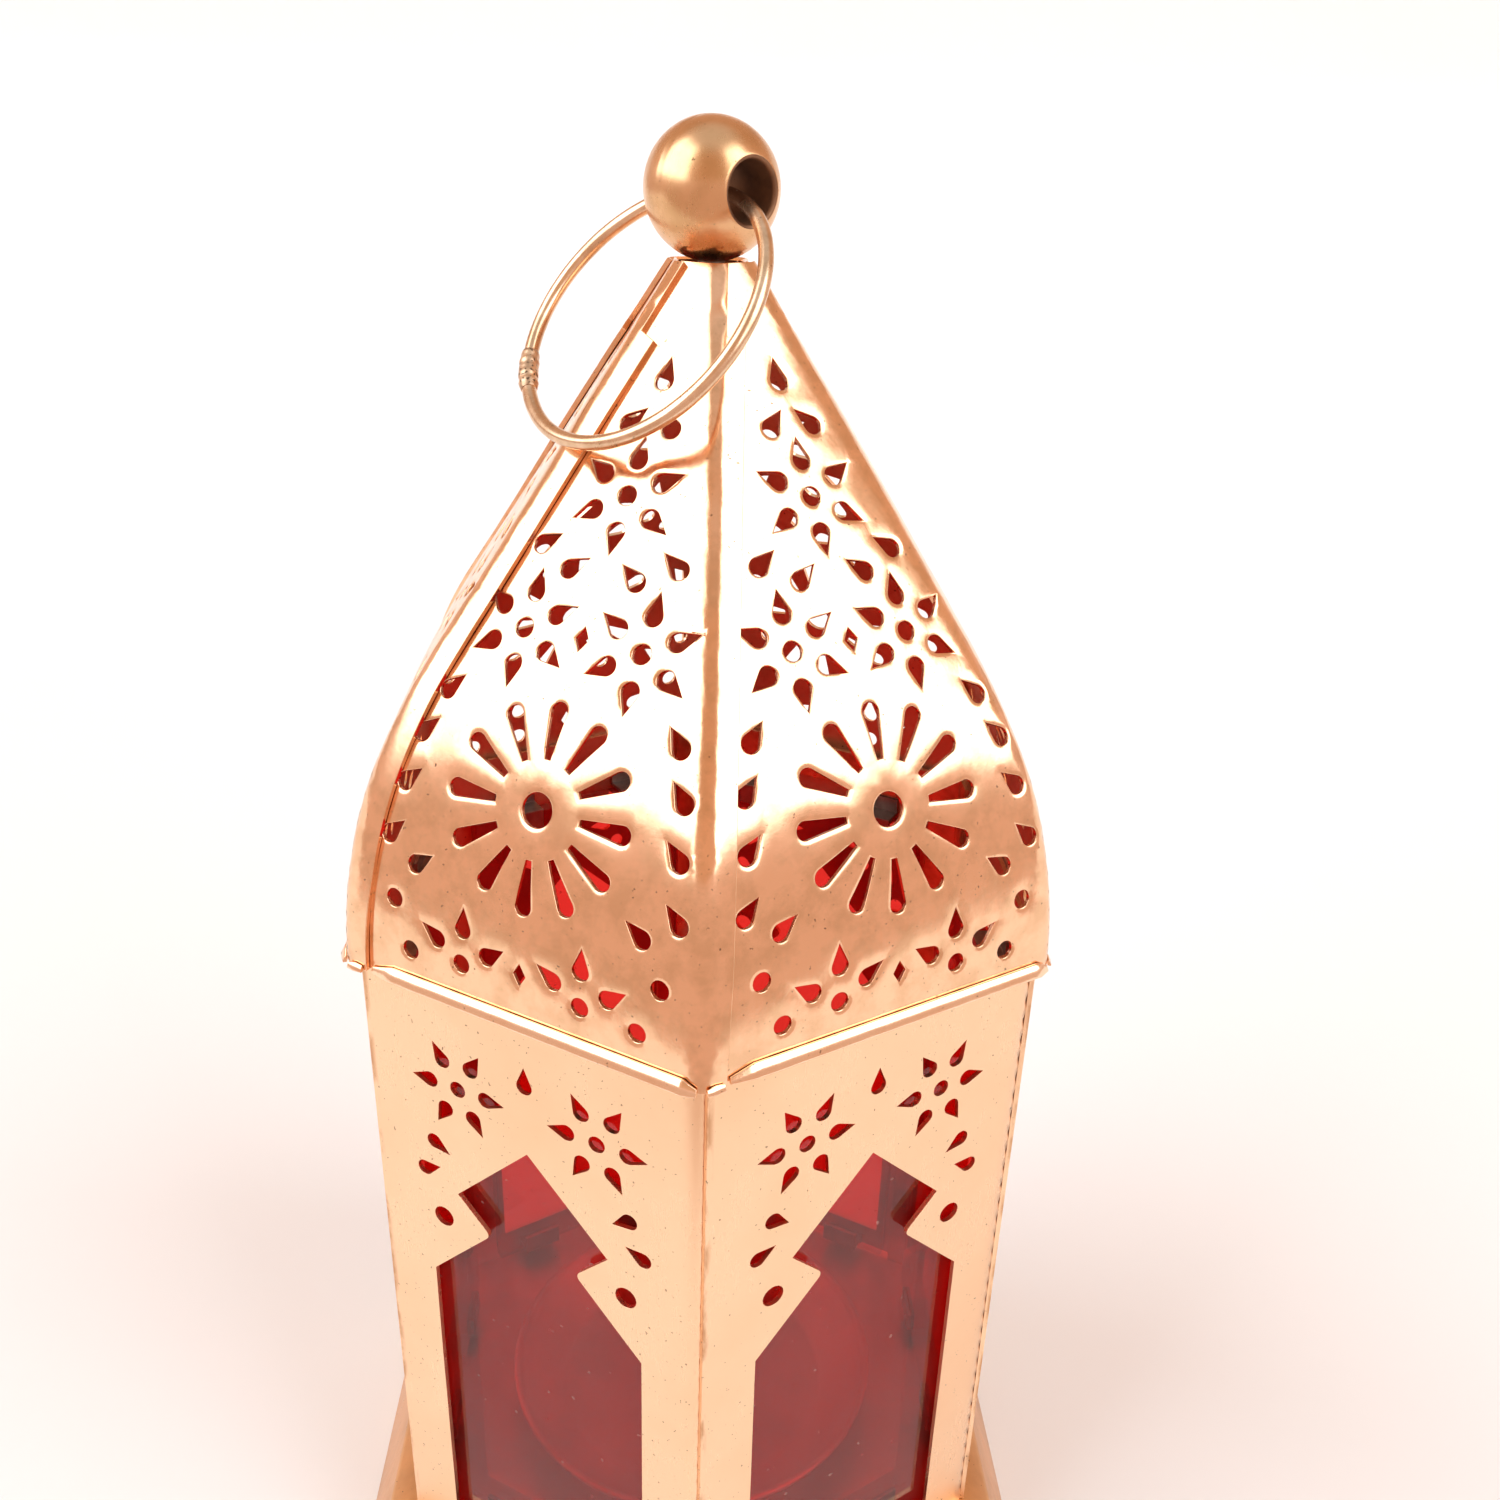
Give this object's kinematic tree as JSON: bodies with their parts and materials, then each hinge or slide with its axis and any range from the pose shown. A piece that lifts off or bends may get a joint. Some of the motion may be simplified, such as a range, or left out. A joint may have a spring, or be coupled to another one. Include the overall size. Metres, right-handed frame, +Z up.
{
  "type": "candle lantern",
  "caption": "Hexagonal metal candle lantern with punched onion-shaped roof, tinted glass windows, a hinged door, a candle pan, a ball finial and a hanging ring.",
  "frame": {"origin": "centre of the underside of the base", "axes": "+Z up; corners of the hexagon on +X and -X; +Y towards the door; -Y towards the plain face opposite it"},
  "size_m": [0.1124, 0.0974, 0.1966],
  "materials": {
    "roof_sheet": "polished rose-gold plated sheet, slightly mottled",
    "body_sheet": "satin rose-gold plated sheet",
    "base_sheet": "satin rose-gold plated sheet",
    "red_glass": "smooth tinted red glass",
    "pan_metal": "satin sheet",
    "ball_brass": "polished",
    "ring_wire": "polished wire",
    "solder": "dull solder",
    "steel_fittings": "plain",
    "brass_fittings": "satin"
  },
  "bodies": {
    "lantern": {"base_skirt": "base_sheet", "floor_plate": "base_sheet", "candle_pan": "pan_metal", "pan_rivet": "pan_metal", "body_panel_1": "body_sheet", "body_panel_2": "body_sheet", "body_panel_3": "body_sheet", "body_panel_5": "body_sheet", "body_panel_6": "body_sheet", "glass_pane_1": "red_glass", "glass_pane_2": "red_glass", "glass_pane_3": "red_glass", "glass_pane_5": "red_glass", "glass_pane_6": "red_glass", "pane_clips_1": "steel_fittings", "pane_clips_2": "steel_fittings", "pane_clips_3": "steel_fittings", "pane_clips_5": "steel_fittings", "pane_clips_6": "steel_fittings", "roof_panel_1": "roof_sheet", "roof_panel_2": "roof_sheet", "roof_panel_3": "roof_sheet", "roof_panel_4": "roof_sheet", "roof_panel_5": "roof_sheet", "roof_panel_6": "roof_sheet", "finial_ball": "ball_brass", "finial_stem": "steel_fittings", "finial_washer": "steel_fittings", "finial_nut": "steel_fittings", "door_frame": "brass_fittings", "door_catch": "brass_fittings", "hinge_leaves_body": "brass_fittings", "hinge_pins": "steel_fittings"},
    "door": {"door_leaf": "body_sheet", "door_glass": "red_glass", "door_pane_clips": "steel_fittings", "door_knob": "brass_fittings", "hinge_leaves_door": "brass_fittings"},
    "ring": {"hanging_ring": "ring_wire", "ring_sleeve": "solder"}
  },
  "joints": [
    {"name": "door_hinge", "type": "hinge", "parent": "lantern", "child": "door", "pos_m": [0.02345, 0.04062, 0.061], "axis": [0, 0, -1], "range_deg": [0, 115]},
    {"name": "ring_swing", "type": "hinge", "parent": "lantern", "child": "ring", "pos_m": [0, 0, 0.1894], "axis": [-0.9511, 0.309, 0], "range_deg": [0, 282]}
  ]
}
